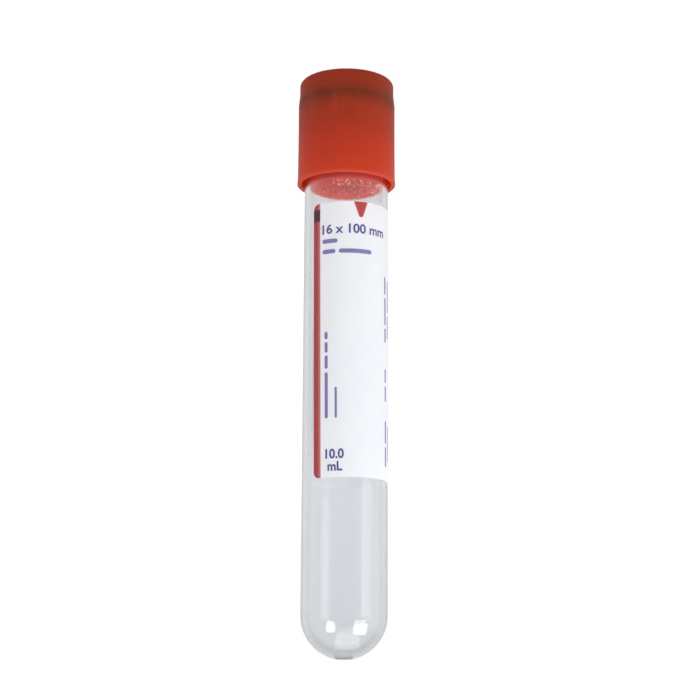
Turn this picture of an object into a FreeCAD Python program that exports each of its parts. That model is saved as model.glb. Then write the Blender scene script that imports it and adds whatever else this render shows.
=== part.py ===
import FreeCAD, Part
import math
import os

# Evacuated blood collection tube, nominally 16 x 100 mm, with a two-piece safety closure.
# Sizes are in millimetres and angles in degrees. Every piece is drawn about +Z, with the tube's
# round end at the origin and the closure above it. The front of the tube faces -Y. The finished
# tube can't stand on its round end, so it is then turned over to stand on the closure's flat top.

os.makedirs("parts", exist_ok=True)

# Tube: clear moulded plastic, open at the rim
tubeLength = 100.0
tubeDiameter = 15.8
tubeWall = 0.95
baseThickness = 1.3
rimEase = 0.25
gateDiameter = 3.0          # dished mark of the mould's gate, at the pole
gateDepth = 0.2
gateNubDiameter = 1.0
gateNubHeight = 0.1

# Label: a rectangle of film, wrapped part of the way round the tube
labelLength = 40.0          # along the wrap
labelHeight = 51.6
labelGap = 5.3              # from the shield's lip
labelStart = -46.5          # its leading edge at mid height, from the tube's front
labelSkew = 0.65            # it was put on slightly crooked
labelThickness = 0.1
labelCorner = 1.2

# Stopper: a rubber flange on the tube's rim, and a ribbed plug in the bore
flangeOverhang = 0.35       # past the tube's wall
flangeThickness = 4.4
flangeEase = 0.35
plugLength = 11.7
plugEase = 0.15
plugClearance = 0.03
sealRibCount = 3
sealRibHeight = 1.7
sealRelief = 0.3            # depth of the grooves between the ribs
wellDiameter = 8.0          # needle well in the top
wellDepth = 1.5

# Shield: the thin plastic cover that holds the stopper
shieldWall = 0.68
shieldDrop = 10.95          # reach of the skirt below the rim
skirtClearance = 0.6        # round the tube
lipFlare = 0.12             # the lip stands out this far from the straight band
lipHeight = 0.5
lipFade = 0.4               # slope from the lip back to the skirt
lipEase = 0.2
skirtFlare = 0.05           # the skirt widens this much on its way to the lip
flareHeight = 5.7
collarStep = 0.235          # the collar is set in this far from the straight band
collarWall = 2.0
shoulderDrop = 2.65         # from the top edge to the end of the shoulder
shoulderHeight = 2.2
topRound = 1.0
recessDepth = 3.75          # from the top edge to the ledge
recessEase = 0.3
portDiameter = 9.2          # hole in the ledge, for the needle
ledgeThickness = 1.5
beadClearance = 0.2         # snap bead under the stopper's flange, round the tube
beadHeight = 0.8
gripRibCount = 12
gripRibWidth = 0.7
gripRibClearance = 0.02

tubeRadius = tubeDiameter / 2
boreRadius = tubeRadius - tubeWall
flangeRadius = tubeRadius + flangeOverhang
plugFace = tubeLength - plugLength
stopperTop = tubeLength + flangeThickness
ledgeTop = stopperTop + ledgeThickness
shieldTop = ledgeTop + recessDepth
shieldBottom = tubeLength - shieldDrop
skirtInnerRadius = tubeRadius + skirtClearance
bodyRadius = skirtInnerRadius + shieldWall
collarRadius = bodyRadius - collarStep


def sharp(radius, height):
    return FreeCAD.Vector(radius, 0, height), 0, False


def eased(radius, height, size):
    return FreeCAD.Vector(radius, 0, height), size, False


def rounded(radius, height, size):
    return FreeCAD.Vector(radius, 0, height), size, True


def turned(corners):
    # A solid turned about Z, from a closed outline of sharp, eased and rounded corners
    stations = []
    for index, (corner, size, isRound) in enumerate(corners):
        if size == 0:
            stations.append([corner])
            continue
        back = (corners[index - 1][0] - corner).normalize()
        ahead = (corners[(index + 1) % len(corners)][0] - corner).normalize()
        if not isRound:
            stations.append([corner + back * size, corner + ahead * size])
            continue
        halfAngle = back.getAngle(ahead) / 2
        reach = size / math.tan(halfAngle)
        middle = corner + (back + ahead).normalize() * (size / math.sin(halfAngle) - size)
        stations.append([corner + back * reach, middle, corner + ahead * reach])
    edges = []
    for index, station in enumerate(stations):
        if len(station) == 3:
            edges.append(Part.Arc(*station).toShape())
        if len(station) == 2:
            edges.append(Part.LineSegment(*station).toShape())
        following = stations[(index + 1) % len(stations)][0]
        if station[-1].distanceToPoint(following) > 1e-6:
            edges.append(Part.LineSegment(station[-1], following).toShape())
    face = Part.Face(Part.Wire(edges))
    return face.revolve(FreeCAD.Vector(0, 0, 0), FreeCAD.Vector(0, 0, 1), 360)


def makeTube():
    blank = turned([
        eased(tubeRadius, tubeLength, rimEase),
        eased(boreRadius, tubeLength, rimEase),
        rounded(boreRadius, baseThickness, boreRadius),
        sharp(0, baseThickness),
        sharp(0, 0),
        rounded(tubeRadius, 0, tubeRadius),
    ])
    gateRadius = gateDiameter / 2
    nubRadius = gateNubDiameter / 2
    nubEnd = gateDepth - gateNubHeight
    gate = turned([
        sharp(0, -gateDepth),
        sharp(gateRadius + gateDepth, -gateDepth),
        sharp(gateRadius - gateDepth, gateDepth),
        sharp(nubRadius, gateDepth),
        sharp(nubRadius, nubEnd),
        sharp(0, nubEnd),
    ])
    return blank.cut(gate).Solids[0]


def makeLabel():
    # The outline is drawn flat, as angle and height on the tube's wall, and thickened outwards
    wall = Part.Cylinder()
    wall.Radius = tubeRadius
    middleHeight = shieldBottom - labelGap - labelHeight / 2
    middleAngle = math.radians(labelStart - 90) + labelLength / 2 / tubeRadius
    skew = math.radians(labelSkew)

    def onTube(along, up):
        turnedAlong = along * math.cos(skew) - up * math.sin(skew)
        turnedUp = along * math.sin(skew) + up * math.cos(skew)
        angle = middleAngle + turnedAlong / tubeRadius
        return FreeCAD.Base.Vector2d(angle, middleHeight + turnedUp)

    pull = labelCorner * (1 - 4 / 3 * (math.sqrt(2) - 1))
    outline = []
    for side, level in ((1, -1), (1, 1), (-1, 1), (-1, -1)):
        along = side * labelLength / 2
        up = level * labelHeight / 2
        poles = [
            onTube(along - side * labelCorner, up),
            onTube(along - side * pull, up),
            onTube(along, up - level * pull),
            onTube(along, up - level * labelCorner),
        ]
        outline.append(poles if side != level else poles[::-1])
    edges = []
    for index, poles in enumerate(outline):
        corner = Part.Geom2d.BezierCurve2d()
        corner.setPoles(poles)
        edges.append(corner.toShape(wall))
        straight = Part.Geom2d.Line2dSegment(poles[-1], outline[(index + 1) % 4][0])
        edges.append(straight.toShape(wall))
    sheet = Part.Face(wall, Part.Wire(edges))
    return sheet.makeOffsetShape(labelThickness, 1e-4, fill=True)


def makeStopper():
    sealRadius = boreRadius - plugClearance
    grooveRadius = sealRadius - sealRelief
    corners = [
        sharp(0, stopperTop - wellDepth),
        sharp(0, plugFace),
    ]
    for rib in range(sealRibCount):
        ribLow = plugFace + rib * plugLength / sealRibCount
        ribHigh = ribLow + sealRibHeight
        if rib == 0:
            corners.append(eased(sealRadius, ribLow, plugEase))
        else:
            corners.append(sharp(grooveRadius, ribLow - sealRelief))
            corners.append(sharp(sealRadius, ribLow))
        corners.append(sharp(sealRadius, ribHigh))
        corners.append(sharp(grooveRadius, ribHigh + sealRelief))
    corners += [
        sharp(grooveRadius, tubeLength),
        sharp(flangeRadius, tubeLength),
        eased(flangeRadius, stopperTop, flangeEase),
        sharp(wellDiameter / 2, stopperTop),
        sharp(wellDiameter / 2, stopperTop - wellDepth),
    ]
    return turned(corners)


def makeShield():
    lipRadius = bodyRadius + lipFlare
    lipTop = shieldBottom + lipHeight + lipFade
    shoulderTop = shieldTop - shoulderDrop
    recessRadius = collarRadius - collarWall
    beadRadius = tubeRadius + beadClearance
    beadLow = tubeLength - beadHeight
    beadReach = skirtInnerRadius - beadRadius
    cover = turned([
        eased(lipRadius, shieldBottom, lipEase),
        sharp(lipRadius, shieldBottom + lipHeight),
        sharp(bodyRadius + skirtFlare, lipTop),
        sharp(bodyRadius, lipTop + flareHeight),
        sharp(bodyRadius, shoulderTop - shoulderHeight),
        sharp(collarRadius, shoulderTop),
        rounded(collarRadius, shieldTop, topRound),
        eased(recessRadius, shieldTop, recessEase),
        sharp(recessRadius, ledgeTop),
        sharp(portDiameter / 2, ledgeTop),
        sharp(portDiameter / 2, stopperTop),
        sharp(skirtInnerRadius, stopperTop),
        sharp(skirtInnerRadius, tubeLength),
        sharp(beadRadius, tubeLength),
        sharp(beadRadius, beadLow + beadReach),
        sharp(skirtInnerRadius, beadLow),
        eased(skirtInnerRadius, shieldBottom, lipEase),
    ])
    # Grip ribs stand between the bead and the ledge and centre the stopper's flange
    ribInner = flangeRadius + gripRibClearance
    ribs = []
    for index in range(gripRibCount):
        rib = Part.makeBox(
            skirtInnerRadius + shieldWall / 2 - ribInner,
            gripRibWidth,
            flangeThickness,
            FreeCAD.Vector(ribInner, -gripRibWidth / 2, tubeLength),
        )
        turn = (index + 0.5) * 360 / gripRibCount
        rib.rotate(FreeCAD.Vector(0, 0, 0), FreeCAD.Vector(0, 0, 1), turn)
        ribs.append(rib)
    return cover.fuse(ribs).removeSplitter().Solids[0]


pieces = {
    "tube": makeTube(),
    "label": makeLabel(),
    "stopper": makeStopper(),
    "closure_shield": makeShield(),
}
onItsCap = FreeCAD.Placement(
    FreeCAD.Vector(0, 0, shieldTop),
    FreeCAD.Rotation(FreeCAD.Vector(0, 1, 0), 180),
)
for name, shape in pieces.items():
    shape.Placement = onItsCap.multiply(shape.Placement)
    shape.exportStep(f"parts/{name}.step")
    print(name, shape.isValid(), round(shape.Volume, 2))
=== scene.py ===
import math

import bmesh
import bpy
from mathutils import Matrix, Vector


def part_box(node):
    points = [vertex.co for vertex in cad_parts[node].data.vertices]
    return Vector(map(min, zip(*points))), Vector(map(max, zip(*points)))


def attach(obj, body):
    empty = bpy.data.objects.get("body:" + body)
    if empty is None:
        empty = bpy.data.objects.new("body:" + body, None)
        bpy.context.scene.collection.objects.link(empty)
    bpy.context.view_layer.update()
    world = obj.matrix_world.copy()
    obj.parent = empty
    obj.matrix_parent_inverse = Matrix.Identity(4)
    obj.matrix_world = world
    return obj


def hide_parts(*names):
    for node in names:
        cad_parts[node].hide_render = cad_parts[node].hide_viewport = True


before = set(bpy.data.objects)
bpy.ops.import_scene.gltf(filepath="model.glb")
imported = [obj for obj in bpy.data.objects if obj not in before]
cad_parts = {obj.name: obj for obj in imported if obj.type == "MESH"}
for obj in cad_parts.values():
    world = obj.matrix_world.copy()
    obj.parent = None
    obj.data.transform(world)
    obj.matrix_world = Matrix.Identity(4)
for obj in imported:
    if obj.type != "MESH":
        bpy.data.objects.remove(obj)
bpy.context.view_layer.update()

# The closed tube stands upside down on its closure, so its round end is uppermost. Its front
# faces -Y, and what winds to the right on the label as it is read goes towards -X.
mm = 0.001
tubeLow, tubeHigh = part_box("tube")
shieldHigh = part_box("closure_shield")[1]
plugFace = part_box("stopper")[1].z
tubeRadius = tubeHigh.x


class Wire:
    # One output socket, so that node maths reads as a plain expression
    def __init__(self, graph, socket):
        self.graph = graph
        self.socket = socket

    def maths(self, operation, *values):
        inputs = dict(enumerate((self, *values)))
        return self.graph.add("Math", {"operation": operation}, inputs)

    def __add__(self, other):
        return self.maths("ADD", other)

    def __radd__(self, other):
        return self.maths("ADD", other)

    def __sub__(self, other):
        return self.maths("SUBTRACT", other)

    def __rsub__(self, other):
        return self.graph.add("Math", {"operation": "SUBTRACT"}, {0: other, 1: self})

    def __mul__(self, other):
        return self.maths("MULTIPLY", other)

    def __rmul__(self, other):
        return self.maths("MULTIPLY", other)

    def __truediv__(self, other):
        return self.maths("DIVIDE", other)

    def __abs__(self):
        return self.maths("ABSOLUTE")

    def __lt__(self, other):
        return self.maths("LESS_THAN", other)

    def __gt__(self, other):
        return self.maths("GREATER_THAN", other)

    def fade(self, low, high):
        # Smoothly from 0 at low to 1 at high
        settings = {"interpolation_type": "SMOOTHSTEP"}
        return self.graph.add("MapRange", settings, {0: self, 1: low, 2: high})

    def between(self, first, second):
        # The first value where this is 0, and the second where it is 1
        return self * (second - first) + first


class Graph:
    # A node tree, with one method that adds any node
    def __init__(self, tree):
        self.tree = tree
        tree.nodes.clear()

    def add(self, kind, settings=None, inputs=None, output=0):
        plain = kind.startswith(("Geometry", "Function", "NodeGroup"))
        node = self.tree.nodes.new(kind if plain else "ShaderNode" + kind)
        for name, value in (settings or {}).items():
            if name == "stops":
                self.setStops(node.color_ramp, value)
            else:
                setattr(node, name, value)
        for key, value in (inputs or {}).items():
            if isinstance(value, Wire):
                self.tree.links.new(value.socket, node.inputs[key])
            else:
                node.inputs[key].default_value = value
        return Wire(self, node.outputs[output]) if len(node.outputs) else None

    def setStops(self, ramp, stops):
        while len(ramp.elements) < len(stops):
            ramp.elements.new(1.0)
        for element, (place, colour) in zip(ramp.elements, stops):
            element.position = place
            element.color = colour

    def split(self, vector):
        node = self.add("SeparateXYZ", inputs={0: vector}).socket.node
        return [Wire(self, socket) for socket in node.outputs]


class Finish(Graph):
    # A material, or the world
    def __init__(self, name, owner=None):
        self.owner = owner or bpy.data.materials.new(name)
        self.owner.use_nodes = True
        super().__init__(self.owner.node_tree)

    def mix(self, factor, first, second):
        settings = {"data_type": "RGBA"}
        return self.add("Mix", settings, {0: factor, 6: first, 7: second}, output=2)

    def place(self):
        # Object coordinates in millimetres
        coords = self.add("TexCoord", output="Object")
        return self.add("VectorMath", {"operation": "SCALE"}, {0: coords, "Scale": 1 / mm})

    def noise(self, coords, scale, detail=2.0, roughness=0.5):
        inputs = {"Vector": coords, "Scale": scale, "Detail": detail, "Roughness": roughness}
        return self.add("TexNoise", inputs=inputs)

    def bump(self, height, strength, distance):
        inputs = {"Height": height, "Strength": strength, "Distance": distance}
        return self.add("Bump", inputs=inputs)

    def blend(self, factor, first, second):
        return self.add("MixShader", inputs={0: factor, 1: first, 2: second})

    def end(self, surface):
        kind = "World" if isinstance(self.owner, bpy.types.World) else "Material"
        self.add("Output" + kind, inputs={"Surface": surface})
        return self.owner


class Recipe(Graph):
    # A geometry node tree with named inputs, which ends in real faces with one material
    def __init__(self, name, **sizes):
        group = bpy.data.node_groups.new(name, "GeometryNodeTree")
        super().__init__(group)
        for way in ("INPUT", "OUTPUT"):
            group.interface.new_socket(
                "Geometry", in_out=way, socket_type="NodeSocketGeometry")
        self.sizes = sizes
        kinds = {float: "NodeSocketFloat", int: "NodeSocketInt"}
        for label, value in sizes.items():
            kind = kinds.get(type(value), "NodeSocketMaterial")
            group.interface.new_socket(label, in_out="INPUT", socket_type=kind)
        node = group.nodes.new("NodeGroupInput")
        self.given = {socket.name: Wire(self, socket) for socket in node.outputs if socket.name}

    def end(self, geometry):
        whole = self.add("GeometryNodeRealizeInstances", inputs={0: geometry})
        inputs = {0: whole, "Material": self.given["finish"]}
        self.add("NodeGroupOutput", inputs={0: self.add("GeometryNodeSetMaterial", inputs=inputs)})
        return self

    def make(self, name, start):
        # The plain mesh that the tree makes of a starting mesh
        base = bpy.data.objects.new(name + "_start", start)
        bpy.context.scene.collection.objects.link(base)
        modifier = base.modifiers.new("recipe", "NODES")
        modifier.node_group = self.tree
        for item in self.tree.interface.items_tree:
            if item.in_out == "INPUT" and item.name in self.sizes:
                modifier[item.identifier] = self.sizes[item.name]
        depsgraph = bpy.context.evaluated_depsgraph_get()
        mesh = bpy.data.meshes.new_from_object(base.evaluated_get(depsgraph))
        mesh.name = name
        bpy.data.objects.remove(base)
        return mesh


def linear(red, green, blue):
    # A colour as it looks on a screen, 0 to 255, as the light that it stands for
    def one(value):
        share = value / 255
        return share / 12.92 if share <= 0.04045 else ((share + 0.055) / 1.055) ** 2.4
    return one(red), one(green), one(blue), 1.0


def newPiece(name, mesh, material):
    piece = bpy.data.objects.new(name, mesh)
    bpy.context.scene.collection.objects.link(piece)
    mesh.materials.clear()
    mesh.materials.append(material)
    return piece


def newMesh(name, made):
    mesh = bpy.data.meshes.new(name)
    made.to_mesh(mesh)
    made.free()
    return mesh


def arc(centre, radius, start, end, count):
    # Points of an arc, radius against height, angles in degrees from the radius axis
    points = []
    for step in range(count + 1):
        angle = math.radians(start + (end - start) * step / count)
        points.append((centre[0] + radius * math.cos(angle), centre[1] + radius * math.sin(angle)))
    return points


def lathe(name, profile, sides, sharpAngle):
    # A surface turned about Z from a profile. It is closed if both ends lie on the axis.
    made = bmesh.new()
    rings = []
    for radius, height in profile:
        ring = []
        for side in range(sides if radius else 1):
            angle = 2 * math.pi * side / sides
            across, deep = radius * math.cos(angle), radius * math.sin(angle)
            ring.append(made.verts.new((across, deep, height)))
        rings.append(ring)
    for low, high in zip(rings, rings[1:]):
        for side in range(sides):
            following = (side + 1) % sides
            corners = [low[side % len(low)], low[following % len(low)]]
            corners += [high[following % len(high)], high[side % len(high)]]
            made.faces.new(list(dict.fromkeys(corners)))
    bmesh.ops.recalc_face_normals(made, faces=made.faces)
    mesh = newMesh(name, made)
    mesh.shade_smooth()
    mesh.set_sharp_from_angle(angle=math.radians(sharpAngle))
    return mesh


tubeLook = {
    "length": 100.0 * mm,
    "wall": 0.95 * mm,
    "baseThickness": 1.3 * mm,
    "rimEase": 0.25 * mm,
    "gateRadius": 1.64 * mm,
    "gateDepth": 0.2 * mm,       # from where the pole would be
    "scarRim": (0.9, 0.012 * mm),    # share of the gate's radius, and height over the flat
    "scarFlat": 0.8,             # share of the gate's radius
    "scarMargin": 0.01 * mm,     # the scar's finish starts this far below its flat
    "arcSteps": 40,
    "sides": 192,
    "sharpAngle": 35,
    "tint": (0.926, 0.945, 0.967, 1.0),
    "paintedEdgeShade": (0.8, 0.82, 0.838, 1.0),
    "edgeOn": (0.3, 0.8),        # how far the wall turns away, from the tint to the painted edge shade
    "index": 1.57,
    "scuffScale": 1.3,
    "scuffs": (0.45, 0.8),       # level of the noise, from clean to scuffed
    "scuffHeight": 0.008 * mm,
    "rough": 0.085,
    "scuffRough": 0.03,          # what scuffs and the scar add to it
    "scarRough": 0.36,
    "shade": (0.95, 0.96, 0.965, 1.0),
}


def tubeFinish():
    # Clear plastic. Light falls straight through the wall, so that it burns no bright lines.
    look = tubeLook
    finish = Finish("clearPlastic")
    coords = finish.place()
    height = finish.split(coords)[2]
    # Painted shade: the clear plastic is darker where the wall turns away from view
    edgeOn = finish.add("LayerWeight", inputs={"Blend": 0.5}, output="Facing")
    tint = finish.mix(edgeOn.fade(*look["edgeOn"]), look["tint"], look["paintedEdgeShade"])
    scuffs = finish.noise(coords, look["scuffScale"], 4.0, 0.65)
    scuffed = scuffs.fade(*look["scuffs"]) * look["scuffRough"]
    scarLow = tubeLow.z + look["length"] - look["gateDepth"] - look["scarMargin"]
    scarred = (height > scarLow / mm) * look["scarRough"]
    glass = finish.add("BsdfPrincipled", inputs={
        "Base Color": tint,
        "Roughness": look["rough"] + scuffed + scarred,
        "IOR": look["index"],
        "Transmission Weight": 1.0,
        "Normal": finish.bump(scuffs, 0.01, look["scuffHeight"]),
    })
    clear = finish.add("BsdfTransparent", inputs={"Color": look["shade"]})
    shadow = finish.add("LightPath", output="Is Shadow Ray")
    diffuse = finish.add("LightPath", output="Is Diffuse Ray")
    return finish.end(finish.blend(shadow.maths("MAXIMUM", diffuse), glass, clear))


def makeTube():
    look = tubeLook
    rim, ease = tubeLow.z, look["rimEase"]
    pole = rim + look["length"]
    bore = tubeRadius - look["wall"]
    gate, scar = look["gateRadius"], pole - look["gateDepth"]
    scarRim, scarRise = look["scarRim"]
    floor = pole - look["baseThickness"]
    profile = [(0, floor)]
    profile += arc((0, floor - bore), bore, 90, 0, look["arcSteps"])[1:]
    profile += [(bore, rim + ease), (bore + ease, rim), (tubeRadius - ease, rim)]
    profile += [(tubeRadius, rim + ease)]
    gateAngle = math.degrees(math.acos(gate / tubeRadius))
    profile += arc((0, pole - tubeRadius), tubeRadius, 0, gateAngle, look["arcSteps"])
    # The mould's gate leaves a flat scar
    profile += [(gate * scarRim, scar + scarRise), (gate * look["scarFlat"], scar), (0, scar)]
    mesh = lathe("tube_wall", profile, look["sides"], look["sharpAngle"])
    piece = newPiece("tube_wall", mesh, tubeFinish())
    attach(piece, "tube_body")
    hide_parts("tube")
    print("tube: wall and round end made")


labelLook = {
    "length": 40.0 * mm,
    "height": 51.6 * mm,
    "gap": 5.3 * mm,             # from the shield's lip
    "start": -46.5,              # leading edge, in degrees from the front
    "skew": 0.65,                # degrees
    "thickness": 0.1 * mm,
    "thinness": 0.48,            # share of the light that goes through
    "stripeWidth": 1.6,
    "stripePale": (0.9, 1.4),    # along the wrap, from where it pales to where it is palest
    "blockTop": 1.15,
    "blockEnd": 3.4,
    "arrowAlong": 9.5,
    "arrowReach": 3.0,
    "arrowTip": 0.48,            # radius
    "arrowSlope": 0.34,          # of its sides
    "arrowEdgeEnd": (0.1, 0.2),  # the arrow's paler edge ends between these
    "backDepth": (0.06, 0.04),   # distance from the tube's wall, from the print to the bare back
    "cloudScale": 0.35,
    "cloud": (0.3, 0.7),         # level of the noise, from white to shaded
    "wornScale": 2.2,
    "worn": (0.6, 0.78),         # level of the noise, from sound to worn
    "wornShare": 0.5,
    "grainScale": 9.0,
    "rough": 0.38,
    "grainRough": 0.12,
    "white": linear(243, 245, 248),
    "shaded": linear(241, 244, 248),
    "back": linear(251, 250, 248),
    "red": linear(182, 72, 76),
    "redWorn": linear(198, 126, 124),
    "navy": linear(87, 55, 66),
    "arrow": linear(194, 76, 72),
    "arrowEdge": linear(212, 116, 122),
}
labelTurn = math.radians(labelLook["start"]) + labelLook["length"] / 2 / tubeRadius
labelLevel = shieldHigh.z + labelLook["gap"] + labelLook["height"] / 2


def labelFinish():
    # The print's fields are drawn in the label's own millimetres: along its wrap, and down from
    # its edge at the closure
    look = labelLook
    finish = Finish("labelFilm")
    coords = finish.place()
    x, y, z = finish.split(coords)
    # Seen from the label's middle, the seam of the angle falls in the gap between its ends
    ahead = x * -math.sin(labelTurn) + y * -math.cos(labelTurn)
    aside = x * -math.cos(labelTurn) + y * math.sin(labelTurn)
    across = aside.maths("ARCTAN2", ahead) * (tubeRadius / mm)
    up = labelLevel / mm - z
    skew = math.radians(look["skew"])
    along = across * math.cos(skew) + up * math.sin(skew) + look["length"] / 2 / mm
    down = across * math.sin(skew) - up * math.cos(skew) + look["height"] / 2 / mm

    cloud = finish.noise(coords, look["cloudScale"]).fade(*look["cloud"])
    colour = finish.mix(cloud, look["white"], look["shaded"])
    stripe = along < look["stripeWidth"]
    worn = finish.noise(coords, look["wornScale"], 3.0).fade(*look["worn"]) * look["wornShare"]
    paleness = worn.maths("MAXIMUM", along.fade(*look["stripePale"]))
    colour = finish.mix(stripe, colour, finish.mix(paleness, look["red"], look["redWorn"]))
    block = stripe * (down > look["blockTop"]) * (down < look["blockEnd"])
    colour = finish.mix(block, colour, look["navy"])
    # The arrow: straight sides that meet its round tip
    side = abs(along - look["arrowAlong"])
    tip, lean = look["arrowTip"], math.atan(look["arrowSlope"])
    tipDown = down - (look["arrowReach"] - tip)
    beyond = (side * side + tipDown * tipDown).maths("SQRT") - tip
    flank = side * math.cos(lean) + tipDown * math.sin(lean) - tip
    outside = beyond.maths("MINIMUM", flank.maths("MAXIMUM", tipDown - tip * math.sin(lean)))
    colour = finish.mix(outside < 0.0, colour, look["arrowEdge"])
    body = outside.fade(*(-depth for depth in look["arrowEdgeEnd"]))
    colour = finish.mix(body, colour, look["arrow"])

    # The side with the glue has no print
    radius = (x * x + y * y).maths("SQRT")
    inside = radius.fade(*(tubeRadius / mm + depth for depth in look["backDepth"]))
    colour = finish.mix(inside, colour, look["back"])
    grain = finish.noise(coords, look["grainScale"])
    film = finish.add("BsdfPrincipled", inputs={
        "Base Color": colour,
        "Roughness": look["rough"] + grain * look["grainRough"],
        "IOR": 1.45,
        "Normal": finish.bump(grain, 0.05, 0.1 * mm),
    })
    through = finish.add("BsdfTranslucent", inputs={"Color": colour})
    return finish.end(finish.blend(look["thinness"], film, through))


printLook = {
    "ink": linear(74, 62, 132),
    "greyInk": linear(106, 98, 152),
    "white": 0.25,               # share of white where the ink is thin
    "patchScale": 6.0,
    "patches": (0.45, 0.8),      # level of the noise, from full to thin ink
    "patchShare": 0.4,
    "rough": 0.35,
    "patchRough": 0.2,
    "curveSteps": 8,
    "endSteps": 4,               # in a quarter of a bar's round end
    "lift": 0.012 * mm,          # height of the ink's face over the film
    "depth": 0.03 * mm,
    "slice": 0.25,               # width of the strips that bend round the tube
    "merge": 0.002,              # nearest that two corners of a mark may be
    "capitals": 0.729,           # height of a capital as a share of the type's size
    "words": (                   # words, height, along, down to the base line, boldness, width
        ("16 x 100 mm", 1.8, 2.1, 6.05, 0.06, 1.0),
        ("10.0", 1.75, 2.6, 48.15, 0.07, 0.92),
        ("mL", 1.72, 3.0, 50.4, 0.07, 0.92),
    ),
    "bars": (                    # along, down, width and height of plain bars
        (2.1, 7.1, 3.0, 0.8),
        (2.1, 9.1, 2.6, 0.8), (5.3, 9.1, 6.3, 0.8),
        (2.5, 24.7, 0.6, 1.4), (2.5, 26.6, 0.6, 2.0), (2.5, 29.1, 0.6, 2.5),
        (2.5, 32.3, 0.6, 8.5),
        (4.4, 35.1, 0.4, 5.7),
        (15.3, 13.4, 0.5, 3.4), (15.3, 17.4, 0.5, 5.2), (15.3, 23.2, 0.5, 2.7),
        (16.7, 13.9, 0.45, 6.1), (16.7, 20.6, 0.45, 4.4),
        (15.3, 30.9, 0.5, 2.6), (15.3, 34.1, 0.5, 2.9),
        (15.3, 40.6, 0.5, 4.2), (15.3, 45.4, 0.5, 3.7), (16.7, 41.4, 0.45, 6.6),
    ),
}


def inkFinish(name, colour):
    look = printLook
    white = look["white"]
    finish = Finish(name)
    patchy = finish.noise(finish.place(), look["patchScale"], 3.0)
    thin = tuple((1 - white) * part + white for part in colour[:3]) + (1.0,)
    thinness = patchy.fade(*look["patches"]) * look["patchShare"]
    return finish.end(finish.add("BsdfPrincipled", inputs={
        "Base Color": finish.mix(thinness, colour, thin),
        "Roughness": look["rough"] + patchy * look["patchRough"],
        "Normal": finish.bump(patchy, 0.05, 0.05 * mm),
    }))


def addWords(made, words, height, along, down, boldness, width):
    # Flat figures in the label's millimetres
    data = bpy.data.curves.new("words", "FONT")
    data.body = words
    data.size = height / printLook["capitals"]
    data.offset = boldness
    data.resolution_u = printLook["curveSteps"]
    base = bpy.data.objects.new("words", data)
    bpy.context.scene.collection.objects.link(base)
    depsgraph = bpy.context.evaluated_depsgraph_get()
    mesh = bpy.data.meshes.new_from_object(base.evaluated_get(depsgraph))
    left = min(vertex.co.x for vertex in mesh.vertices)
    for vertex in mesh.vertices:
        vertex.co = (along + (vertex.co.x - left) * width, down - vertex.co.y, 0)
    made.from_mesh(mesh)
    bpy.data.objects.remove(base)
    bpy.data.meshes.remove(mesh)


def addBar(made, along, down, width, height):
    # A flat bar with round ends
    radius = min(width, height) / 2
    right, low = along + width - radius, down + height - radius
    corners = []
    for centre, first in (
        ((right, low), 0),
        ((along + radius, low), 90),
        ((along + radius, down + radius), 180),
        ((right, down + radius), 270),
    ):
        corners += arc(centre, radius, first, first + 90, printLook["endSteps"])
    made.faces.new([made.verts.new((*corner, 0)) for corner in corners])


def wrapRecipe(name, finish):
    # Lays a mesh on the label: its x goes along the wrap, its y down, and its z outwards
    look = labelLook
    recipe = Recipe(
        name, tubeRadius=tubeRadius, film=look["thickness"], turn=labelTurn, level=labelLevel,
        skew=math.radians(look["skew"]), finish=finish)
    given = recipe.given
    x, y, lift = recipe.split(recipe.add("GeometryNodeInputPosition"))
    along = x - look["length"] / 2
    down = y - look["height"] / 2
    cosine, sine = given["skew"].maths("COSINE"), given["skew"].maths("SINE")
    angle = (along * cosine + down * sine) / given["tubeRadius"] + given["turn"]
    reach = (given["tubeRadius"] + given["film"] + lift) * -1.0
    place = recipe.add("CombineXYZ", inputs={
        0: reach * angle.maths("SINE"),
        1: reach * angle.maths("COSINE"),
        2: given["level"] + down * cosine - along * sine,
    })
    wrapped = recipe.add("GeometryNodeSetPosition", inputs={0: given["Geometry"], 2: place})
    # The wrap turns the mesh inside out
    return recipe.end(recipe.add("GeometryNodeFlipFaces", inputs={0: wrapped}))


def makePrint(name, ink, words=(), bars=()):
    look = printLook
    made = bmesh.new()
    for line in words:
        addWords(made, *line)
    for bar in bars:
        addBar(made, *bar)
    bmesh.ops.remove_doubles(made, verts=made.verts, dist=look["merge"])
    # Narrow strips across the wrap, so that the print can bend
    cut = min(vertex.co.x for vertex in made.verts) + look["slice"] / 2
    end = max(vertex.co.x for vertex in made.verts)
    while cut < end:
        parts = made.verts[:] + made.edges[:] + made.faces[:]
        bmesh.ops.bisect_plane(
            made, geom=parts, dist=look["merge"], plane_co=(cut, 0, 0), plane_no=(1, 0, 0))
        cut += look["slice"]
    bmesh.ops.remove_doubles(made, verts=made.verts, dist=look["merge"])
    bmesh.ops.triangulate(made, faces=made.faces)
    bmesh.ops.scale(made, vec=(mm, mm, mm), verts=made.verts)
    # Each mark is a thin closed body that sinks into the film
    bmesh.ops.translate(made, vec=(0, 0, look["lift"]), verts=made.verts)
    back = bmesh.ops.extrude_face_region(made, geom=made.faces[:], use_keep_orig=True)["geom"]
    sunk = [part for part in back if isinstance(part, bmesh.types.BMVert)]
    bmesh.ops.translate(made, vec=(0, 0, -look["depth"]), verts=sunk)
    bmesh.ops.recalc_face_normals(made, faces=made.faces)
    finish = inkFinish(name + "_ink", ink)
    mesh = wrapRecipe(name + "_wrap", finish).make(name, newMesh(name + "_flat", made))
    piece = newPiece(name, mesh, finish)
    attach(piece, "tube_body")
    print(f"label: {name} made, {len(mesh.polygons)} faces")


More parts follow.
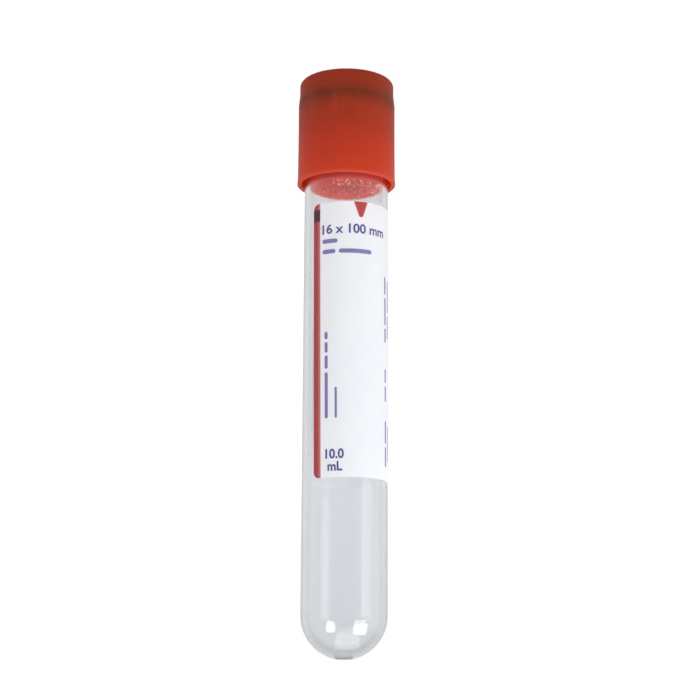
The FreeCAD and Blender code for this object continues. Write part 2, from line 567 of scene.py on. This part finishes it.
stopperLook = {
    "face": linear(182, 30, 18),
    "pale": linear(230, 82, 64),
    "side": linear(192, 60, 52),     # pressed against the wall, the rubber looks wet
    "cloudScale": 0.45,
    "cloud": (0.3, 0.75),        # level of the noise, from bare to dusty
    "cloudShare": 0.4,           # of the dust, and the rest is painted light that grows towards the back
    "paintedBackLight": (-6.0, 4.0),      # depth, from the front to the back, which is painted paler as painted light
    "faceEdge": (-0.2, -0.02),   # height from the plug's face, from the side to the face
    "shine": 0.2,
    "grainScale": 6.0,
    "rough": 0.55,
    "grainRough": 0.2,
}


def stopperFinish():
    look = stopperLook
    finish = Finish("stopperRubber")
    coords = finish.place()
    y, z = finish.split(coords)[1:]
    # Paler towards the back: partly dust in random clouds, and mostly painted light that brightens
    # the back
    cloud = finish.noise(coords, look["cloudScale"], 4.0).fade(*look["cloud"])
    paintedBackLight = y.fade(*look["paintedBackLight"])
    dustAndPaintedLight = cloud * look["cloudShare"] + paintedBackLight * (1 - look["cloudShare"])
    colour = finish.mix(dustAndPaintedLight, look["face"], look["pale"])
    onFace = z.fade(*(plugFace / mm + height for height in look["faceEdge"]))
    colour = finish.mix(onFace, look["side"], colour)
    grain = finish.noise(coords, look["grainScale"], 3.0)
    return finish.end(finish.add("BsdfPrincipled", inputs={
        "Base Color": colour,
        "Roughness": look["rough"] + grain * look["grainRough"],
        "Specular IOR Level": look["shine"],
        "Normal": finish.bump(grain, 0.2, 0.15 * mm),
    }))


grainLook = {
    "plugDensity": 1.7e6,        # grains to the square metre
    "wallDensity": 1.6e6,
    "size": 0.2 * mm,            # of a lump, before it is stretched
    "stretch": ((0.35, 0.35, 0.25), (1.6, 1.3, 0.8)),    # least and most
    "turn": (6.28, 6.28, 6.28),  # most, about each axis
    "plugInset": 0.35 * mm,      # from the wall to the plug's grains
    "plugLift": 0.02 * mm,
    "wallInset": 0.06 * mm,      # from the wall to the middles of its grains
    "wallLow": 0.15 * mm,        # from the plug's face to the wall's first grains
    "wallReach": 3.0 * mm,
    "sides": 48,
    "driftScale": 300.0,
    "drift": (0.3, 0.55),        # level of the noise, from bare to full
    "across": (5.0 * mm, -3.0 * mm),     # along X, from few to many
    "few": 0.1,                  # share that is left where they are few
    "seed": 3,
    "through": 0.3,              # share of the light that goes through
    "speckleScale": 5.0,
    "speckle": (0.3, 0.7),
    "rough": 0.3,
    "speckleRough": 0.3,
    "white": linear(255, 206, 184),
    "shaded": linear(238, 164, 142),
}


def grainFinish():
    # Dried grains of clot activator
    look = grainLook
    finish = Finish("activatorGrains")
    speckle = finish.noise(finish.place(), look["speckleScale"])
    colour = finish.mix(speckle.fade(*look["speckle"]), look["white"], look["shaded"])
    grain = finish.add("BsdfPrincipled", inputs={
        "Base Color": colour,
        "Roughness": look["rough"] + speckle * look["speckleRough"],
        "Normal": finish.bump(speckle, 0.3, 0.05 * mm),
    })
    through = finish.add("BsdfTranslucent", inputs={"Color": look["white"]})
    return finish.end(finish.blend(look["through"], grain, through))


def grainRecipe(name, finish, density):
    # Scatters small lumps over a surface, in drifts that are thickest towards -X
    look = grainLook
    recipe = Recipe(
        name, density=density, size=look["size"], seed=look["seed"], plugFace=plugFace,
        reach=look["wallReach"], finish=finish)
    given = recipe.given
    position = recipe.add("GeometryNodeInputPosition")
    x, _, z = recipe.split(position)
    drift = recipe.add("TexNoise", inputs={
        "Vector": position, "Scale": look["driftScale"], "Detail": 2.0})
    share = drift.fade(*look["drift"]) * x.fade(*look["across"]).between(look["few"], 1.0)
    share = share * (z - given["plugFace"]).fade(given["reach"], 0.0)
    points = recipe.add("GeometryNodeDistributePointsOnFaces", inputs={
        "Mesh": given["Geometry"], "Density": given["density"], "Seed": given["seed"]})
    chance = recipe.add("FunctionNodeRandomValue", inputs={"Seed": given["seed"]}, output=1)
    lump = recipe.add("GeometryNodeMeshIcoSphere", inputs={
        "Radius": given["size"], "Subdivisions": 1})
    turn = recipe.add("FunctionNodeRandomValue", {"data_type": "FLOAT_VECTOR"}, {
        "Max": look["turn"], "Seed": given["seed"] + 1})
    least, most = look["stretch"]
    size = recipe.add("FunctionNodeRandomValue", {"data_type": "FLOAT_VECTOR"}, {
        "Min": least, "Max": most, "Seed": given["seed"] + 2})
    return recipe.end(recipe.add("GeometryNodeInstanceOnPoints", inputs={
        "Points": points, "Selection": chance < share, "Instance": lump,
        "Rotation": turn, "Scale": size}))


def makeGrains():
    look = grainLook
    finish = grainFinish()
    bore = tubeRadius - tubeLook["wall"]
    # A disc on the plug's face and a band on the wall carry the grains
    made = bmesh.new()
    bmesh.ops.create_circle(
        made, cap_ends=True, segments=look["sides"], radius=bore - look["plugInset"],
        matrix=Matrix.Translation((0, 0, plugFace + look["plugLift"])))
    disc = newMesh("plug_grains_start", made)
    radius, low = bore - look["wallInset"], plugFace + look["wallLow"]
    band = [(radius, low), (radius, low + look["wallReach"])]
    ring = lathe("wall_grains_start", band, look["sides"], tubeLook["sharpAngle"])
    for name, body, slot, start, density in (
        ("plug_grains", "closure", "stopper_rubber", disc, look["plugDensity"]),
        ("wall_grains", "tube_body", "clear_plastic", ring, look["wallDensity"]),
    ):
        mesh = grainRecipe(name + "_scatter", finish, density).make(name, start)
        piece = newPiece(name, mesh, finish)
        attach(piece, body)
        print(f"activator: {name} made, {len(mesh.polygons)} faces")


shieldLook = {
    "ribs": 12,
    "ribHalf": 0.073,            # half of a rib's width, as a share of their pitch
    "ribSoft": 0.035,            # softness of its sides, as the same share
    "ribStart": (3.4, 4.4),      # height where the ribs' lines come up
    "ribEnd": (12.5, 8.0),       # and where they go
    "ribCloudScale": 0.35,
    "ribCloud": (0.3, 0.7),      # level of the noise, from faint lines to clear ones
    "ribClear": (0.1, 0.35),     # strength of the faint lines, and what clear ones add
    "innerRadius": (8.75, 8.65),     # in the wall, from its outside to its inside
    "innerGlow": (9.0, 16.0),    # height where the inside's painted glow starts, and where it is full
    "cloudScale": 0.25,
    "cloudy": (0.35, 0.7),       # level of the noise, from plain to cloudy
    "cloudShare": 0.15,
    "grainScale": 7.0,
    "rough": 0.38,
    "grainRough": 0.12,
    "shine": 0.3,
    "thinness": 0.35,            # share of the light that goes through
    "thinInside": 0.2,           # and what the inside adds to it
    "glow": linear(252, 110, 44),
    # painted glow of the inside
    "inside": linear(255, 118, 58),
    "paintedRibLight": linear(190, 80, 54),
    "cloud": linear(176, 50, 14),
    "paintedLightByHeight": (                 # height in millimetres from the flat top, and colour: painted shade and painted light
        (0.0, linear(145, 44, 12)),
        (3.2, linear(138, 42, 11)),
        (4.0, linear(121, 42, 8)),
        # painted shade: the dark band where the inner ledge stands behind the wall
        (4.5, linear(97, 43, 3)),
        (5.2, linear(97, 43, 3)),
        (5.9, linear(126, 44, 9)),
        (6.6, linear(143, 44, 11)),
        (7.5, linear(155, 44, 12)),
        (10.5, linear(162, 46, 12)),
        (13.0, linear(172, 48, 13)),
        (17.0, linear(179, 52, 13)),
        (20.0, linear(184, 56, 17)),
        # painted highlight along the lip
        (20.4, linear(180, 72, 48)),
    ),
}


def shieldFinish():
    look = shieldLook
    finish = Finish("shieldPlastic")
    coords = finish.place()
    x, y, z = finish.split(coords)
    # Painted light and shade by height: the red is darker where the stopper stands behind the
    # wall, and lighter towards the thin skirt
    top = shieldHigh.z / mm
    stops = [(height / top, colour) for height, colour in look["paintedLightByHeight"]]
    colour = finish.add("ValToRGB", {"stops": stops}, {0: z / top})
    cloud = finish.noise(coords, look["cloudScale"], 3.0).fade(*look["cloudy"])
    colour = finish.mix(cloud * look["cloudShare"], colour, look["cloud"])
    # Painted light: paler lines where the sides of the grip ribs stand behind the wall
    turn = y.maths("ARCTAN2", x) * (look["ribs"] / (2 * math.pi))
    nearRib = abs(turn.maths("FRACT") - 0.5)
    ribSide = abs(nearRib - look["ribHalf"]).fade(look["ribSoft"], 0.0)
    ribSide = ribSide * z.fade(*look["ribStart"]) * z.fade(*look["ribEnd"])
    faint, clear = look["ribClear"]
    patchy = finish.noise(coords, look["ribCloudScale"], 1.0).fade(*look["ribCloud"])
    colour = finish.mix(ribSide * (patchy * clear + faint), colour, look["paintedRibLight"])
    # The inside is painted a brighter orange, a painted glow of the light that comes through the
    # wall, and it lets more of that light through as well
    radius = (x * x + y * y).maths("SQRT")
    inner = radius.fade(*look["innerRadius"]) * z.fade(*look["innerGlow"])
    colour = finish.mix(inner, colour, look["inside"])
    grain = finish.noise(coords, look["grainScale"], 3.0)
    skin = finish.add("BsdfPrincipled", inputs={
        "Base Color": colour,
        "Roughness": look["rough"] + grain * look["grainRough"],
        "IOR": 1.49,
        "Specular IOR Level": look["shine"],
        "Normal": finish.bump(grain, 0.08, 0.1 * mm),
    })
    through = finish.add("BsdfTranslucent", inputs={"Color": look["glow"]})
    thinness = inner * look["thinInside"] + look["thinness"]
    return finish.end(finish.blend(thinness, skin, through))


def dress(node, material):
    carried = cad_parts[node]
    carried.data.materials.clear()
    carried.data.materials.append(material)
    print(f"{node}: finish given")


stageLook = {
    "width": 5.0,
    "front": -0.3,
    "back": 4.0,
    "white": 0.86,               # glow of the floor, which daylight lifts to white
    "lit": 0.22,                 # share of real light that the floor keeps
    "plain": 0.8,                # the floor as it lights the object
    "inGlass": 0.58,             # glow of the floor as clear plastic and gloss show it
    "nearInGlass": 0.46,         # the same, of the floor near the tube
    "near": (0.5, -0.1),         # depth from the one to the other
    "frontInGlass": 0.15,        # in front of the tube, as clear plastic shows it
    "frontInGloss": 0.32,        # and as gloss does
    "ahead": (0.02, -0.06),      # depth where that starts and where it is full
    "room": 1.0,                 # glow of the room behind the tube
    "roomFront": 0.38,           # and in front of it
    "roomTurn": (-0.9, 0.3),     # direction in depth, from the front's glow to the back's
    "roomInGlass": 0.76,         # behind the tube, as gloss and clear plastic show it
    "roomAbove": 0.56,           # overhead, as clear plastic shows it
    "overhead": (0.1, 0.6),      # direction in height where that starts and where it is full
}


def seenBy(finish, *kinds):
    # 1 for rays of these kinds, and 0 for the rest
    seen = finish.add("LightPath", output=f"Is {kinds[0]} Ray")
    for kind in kinds[1:]:
        seen = seen.maths("MAXIMUM", finish.add("LightPath", output=f"Is {kind} Ray"))
    return seen


def makeStage():
    look = stageLook
    half = look["width"] / 2
    front, back = look["front"], look["back"]
    mesh = bpy.data.meshes.new("floor")
    corners = [(-half, front, 0), (half, front, 0), (half, back, 0), (-half, back, 0)]
    mesh.from_pydata(corners, [], [(0, 1, 2, 3)])
    # The white keeps a share of real light, so that a shadow shows on it
    finish = Finish("paleFloor")
    lit = finish.add("BsdfDiffuse", inputs={"Color": (*[look["lit"]] * 3, 1.0)})
    depth = finish.split(finish.add("TexCoord", output="Object"))[1]
    behind = depth.fade(*look["near"]).between(look["inGlass"], look["nearInGlass"])
    ahead = seenBy(finish, "Transmission").between(look["frontInGloss"], look["frontInGlass"])
    tone = depth.fade(*look["ahead"]).between(behind, ahead)
    tone = seenBy(finish, "Camera").between(tone, look["white"])
    glow = finish.add("Emission", inputs={"Color": tone})
    both = finish.add("AddShader", inputs={0: lit, 1: glow})
    plain = finish.add("BsdfDiffuse", inputs={"Color": (*[look["plain"]] * 3, 1.0)})
    seen = seenBy(finish, "Camera", "Glossy", "Transmission")
    newPiece("floor", mesh, finish.end(finish.blend(seen, plain, both)))

    world = bpy.data.worlds.new("room")
    bpy.context.scene.world = world
    finish = Finish("room", world)
    depth, height = finish.split(finish.add("TexCoord"))[1:]
    behind = seenBy(finish, "Glossy").between(look["room"], look["roomInGlass"])
    tone = depth.fade(*look["roomTurn"]).between(look["roomFront"], behind)
    inGlass = height.fade(*look["overhead"]).between(look["roomInGlass"], look["roomAbove"])
    tone = seenBy(finish, "Transmission").between(tone, inGlass)
    tone = tone.maths("MAXIMUM", seenBy(finish, "Camera"))
    finish.end(finish.add("Background", inputs={"Color": tone}))
    print("stage: floor and room made")


# Azimuth from the front towards -X, elevation, distance, width, height, power and twist
lampLook = {
    "keyLeft": (-43, 38, 0.8, 0.28, 0.24, 2.25, -12),
    "keyRight": (55, 38, 0.8, 0.48, 0.37, 3.3, 10),
    "panelLeft": (-53, 3, 0.34, 0.15, 0.2, 0.025, 0),
    "panelRight": (64, 2, 0.34, 0.18, 0.2, 0.095, 0),
    "panelRightMiddle": (56, 2, 0.33, 0.12, 0.2, 0.025, 0),
    "fillRight": (88, 10, 0.6, 0.6, 0.5, 0.3, 0),
    "overhead": (27, 76, 0.6, 0.52, 0.6, 1.25, 27),
}


def makeLamps():
    for name, (azimuth, elevation, distance, width, height, power, twist) in lampLook.items():
        data = bpy.data.lights.new(name, "AREA")
        data.shape = "RECTANGLE"
        data.size, data.size_y = width, height
        data.energy = power
        lamp = bpy.data.objects.new(name, data)
        bpy.context.scene.collection.objects.link(lamp)
        around, rise = math.radians(azimuth), math.radians(elevation)
        away = Vector((
            -math.sin(around) * math.cos(rise),
            -math.cos(around) * math.cos(rise),
            math.sin(rise),
        ))
        turn = Matrix.Rotation(math.radians(twist), 4, "Z")
        lamp.matrix_world = (
            Matrix.Translation(Vector((0, 0, tubeHigh.z / 2)) + away * distance)
            @ (-away).to_track_quat("-Z", "Y").to_matrix().to_4x4() @ turn)
    print("stage: lamps made")


cameraLook = {
    "lens": 99.18,
    "place": (-0.856 * mm, -350.0 * mm, 132.92 * mm),
    "elevation": 12.938,         # degrees that it looks down
    "roll": 180.277,             # degrees, which turn the closure to the top
}


def makeCamera():
    look = cameraLook
    data = bpy.data.cameras.new("camera")
    data.lens = look["lens"]
    camera = bpy.data.objects.new("camera", data)
    bpy.context.scene.collection.objects.link(camera)
    tilt = Matrix.Rotation(math.radians(90 - look["elevation"]), 4, "X")
    roll = Matrix.Rotation(math.radians(look["roll"]), 4, "Z")
    camera.matrix_world = Matrix.Translation(look["place"]) @ tilt @ roll
    bpy.context.scene.camera = camera
    print("stage: camera made")


dress("closure_shield", shieldFinish())
dress("stopper", stopperFinish())
dress("label", labelFinish())
makeTube()
makePrint("label_figures", printLook["ink"], words=printLook["words"])
makePrint("label_bars", printLook["greyInk"], bars=printLook["bars"])
makeGrains()
makeStage()
makeLamps()
makeCamera()
bpy.context.scene.view_settings.view_transform = "Standard"
